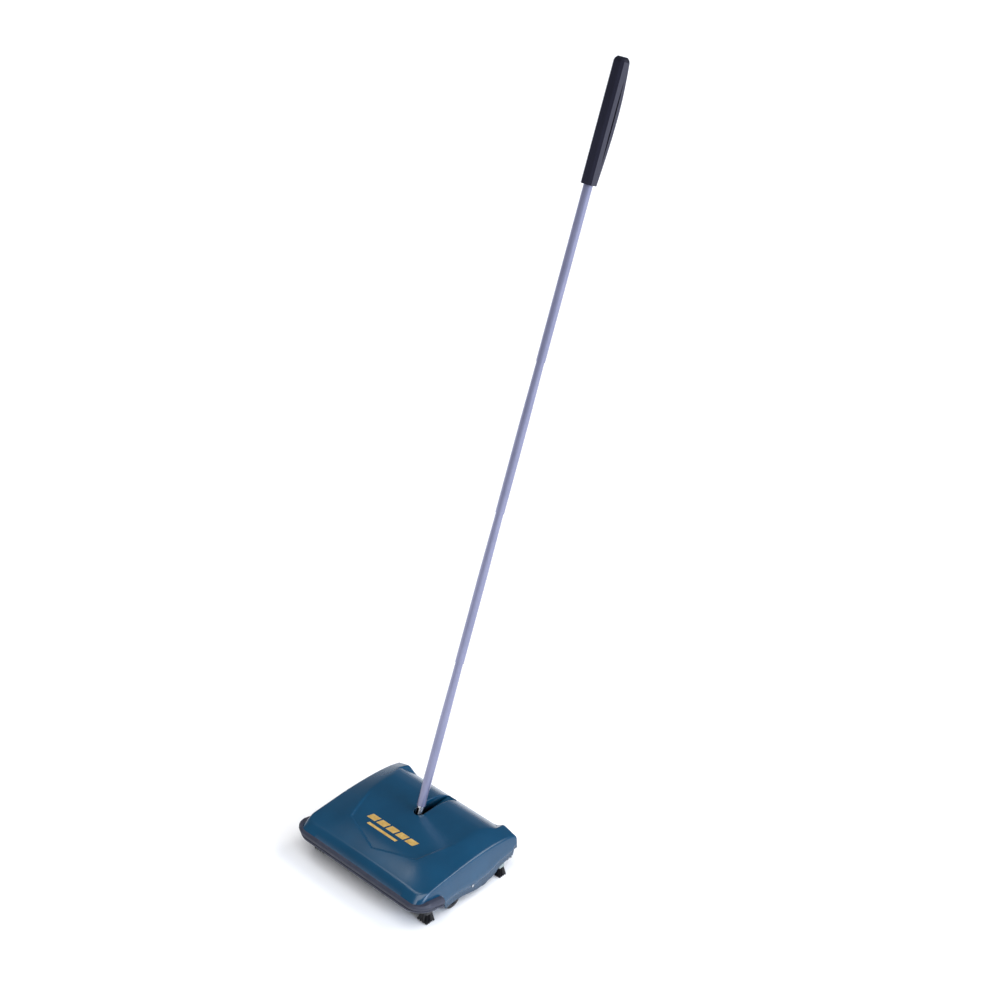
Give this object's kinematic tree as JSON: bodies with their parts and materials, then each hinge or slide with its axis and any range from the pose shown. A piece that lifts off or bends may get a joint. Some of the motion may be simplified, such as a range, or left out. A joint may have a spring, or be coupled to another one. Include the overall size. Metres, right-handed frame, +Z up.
{
  "type": "carpet sweeper",
  "caption": "Manual carpet sweeper: low painted head with a brush roll, drive wheels, dust pans and corner brushes, on a leaning sectional tube handle with a moulded grip.",
  "frame": {"origin": "on the floor under the middle of the head, midway between its sides and between the bumper face and the rear wall", "axes": "+X is the right-hand side seen from the bumper looking back over the head; the bumper faces -Y, the handle leans back to +Y, +Z is up"},
  "size_m": [0.257, 0.4858, 1.0772],
  "materials": {
    "hood_paint": "deep teal-navy enamel, semi-gloss",
    "bumper_rubber": "matte charcoal with a violet cast",
    "zinc_steel": "zinc plated, satin",
    "pan_steel": "black enamel",
    "block_plastic": "moulded light grey",
    "bristle_nylon": "black nylon bristle",
    "tyre_rubber": "matte black",
    "black_plastic": "moulded black",
    "tube_steel": "satin lavender-grey",
    "grip_plastic": "glossy black",
    "white_nylon": "natural nylon",
    "bright_steel": "bright zinc"
  },
  "bodies": {
    "head": {"hood_shell": "hood_paint", "bumper_strip": "bumper_rubber", "side_frame_left": "zinc_steel", "side_frame_right": "zinc_steel", "axle_bush_left": "white_nylon", "axle_bush_right": "white_nylon", "front_rail": "zinc_steel", "rear_rail": "zinc_steel", "frame_rivets": "bright_steel", "wheel_axles": "bright_steel", "axle_clips": "bright_steel", "opener_guides": "bright_steel", "handle_bracket": "bright_steel", "bracket_rivets": "bright_steel", "handle_pivot_pin": "bright_steel", "pivot_bushes": "white_nylon", "front_pan_spring": "bright_steel", "rear_pan_spring": "bright_steel", "corner_block_front_left": "block_plastic", "corner_tuft_front_left": "bristle_nylon", "corner_block_front_right": "block_plastic", "corner_tuft_front_right": "bristle_nylon", "corner_block_rear_left": "block_plastic", "corner_tuft_rear_left": "bristle_nylon", "corner_block_rear_right": "block_plastic", "corner_tuft_rear_right": "bristle_nylon"},
    "handle": {"handle_fork": "bright_steel", "handle_tube_1": "tube_steel", "handle_tube_2": "tube_steel", "handle_tube_3": "tube_steel", "handle_tube_4": "tube_steel", "grip": "grip_plastic"},
    "brush_roll": {"brush_core": "black_plastic", "brush_bristles": "bristle_nylon", "brush_axle": "bright_steel", "roll_end_cap_left": "black_plastic", "roll_end_cap_right": "black_plastic", "drive_hub_left": "black_plastic", "drive_hub_right": "black_plastic", "drive_ring_left": "tyre_rubber", "drive_ring_right": "tyre_rubber"},
    "wheel_front_left": {"wheel_hub_front_left": "black_plastic", "tyre_front_left": "tyre_rubber"},
    "wheel_front_right": {"wheel_hub_front_right": "black_plastic", "tyre_front_right": "tyre_rubber"},
    "wheel_rear_left": {"wheel_hub_rear_left": "black_plastic", "tyre_rear_left": "tyre_rubber"},
    "wheel_rear_right": {"wheel_hub_rear_right": "black_plastic", "tyre_rear_right": "tyre_rubber"},
    "front_pan": {"front_pan": "pan_steel", "front_pan_rod": "bright_steel", "front_pan_crank": "bright_steel"},
    "rear_pan": {"rear_pan": "pan_steel", "rear_pan_rod": "bright_steel", "rear_pan_crank": "bright_steel"},
    "opener": {"pan_opener": "bright_steel"}
  },
  "joints": [
    {"name": "handle_lean", "type": "hinge", "parent": "head", "child": "handle", "pos_m": [0, 0.0193, 0.0596], "axis": [-1, 0, 0], "range_deg": [0, 62]},
    {"name": "brush_spin", "type": "hinge", "parent": "head", "child": "brush_roll", "pos_m": [0, 0.008, 0.02425], "axis": [1, 0, 0], "continuous": true},
    {"name": "wheel_spin_front_left", "type": "hinge", "parent": "head", "child": "wheel_front_left", "pos_m": [-0.1085, -0.023, 0.01475], "axis": [1, 0, 0], "continuous": true},
    {"name": "wheel_spin_front_right", "type": "hinge", "parent": "head", "child": "wheel_front_right", "pos_m": [0.1085, -0.023, 0.01475], "axis": [1, 0, 0], "continuous": true},
    {"name": "wheel_spin_rear_left", "type": "hinge", "parent": "head", "child": "wheel_rear_left", "pos_m": [-0.1085, 0.039, 0.01475], "axis": [1, 0, 0], "continuous": true},
    {"name": "wheel_spin_rear_right", "type": "hinge", "parent": "head", "child": "wheel_rear_right", "pos_m": [0.1085, 0.039, 0.01475], "axis": [1, 0, 0], "continuous": true},
    {"name": "front_pan_hinge", "type": "hinge", "parent": "head", "child": "front_pan", "pos_m": [0, -0.076, 0.036], "axis": [-1, 0, 0], "range_deg": [0, 30], "stiffness_Nm_per_rad": 0.35, "springref_deg": -34.38},
    {"name": "rear_pan_hinge", "type": "hinge", "parent": "head", "child": "rear_pan", "pos_m": [0, 0.086, 0.038], "axis": [1, 0, 0], "range_deg": [0, 30.01]},
    {"name": "opener_slide", "type": "slide", "parent": "head", "child": "opener", "axis": [0, 1, 0], "range_m": [0, 0.006]}
  ],
  "couplings": [
    {"joint": "wheel_spin_front_left", "follows": "brush_spin", "ratio": -1.2154},
    {"joint": "wheel_spin_front_right", "follows": "brush_spin", "ratio": -1.2154},
    {"joint": "wheel_spin_rear_left", "follows": "brush_spin", "ratio": -1.2154},
    {"joint": "wheel_spin_rear_right", "follows": "brush_spin", "ratio": -1.2154},
    {"joint": "rear_pan_hinge", "follows": "front_pan_hinge", "ratio": 1},
    {"joint": "opener_slide", "follows": "front_pan_hinge", "m_per_rad": 0.011459}
  ]
}
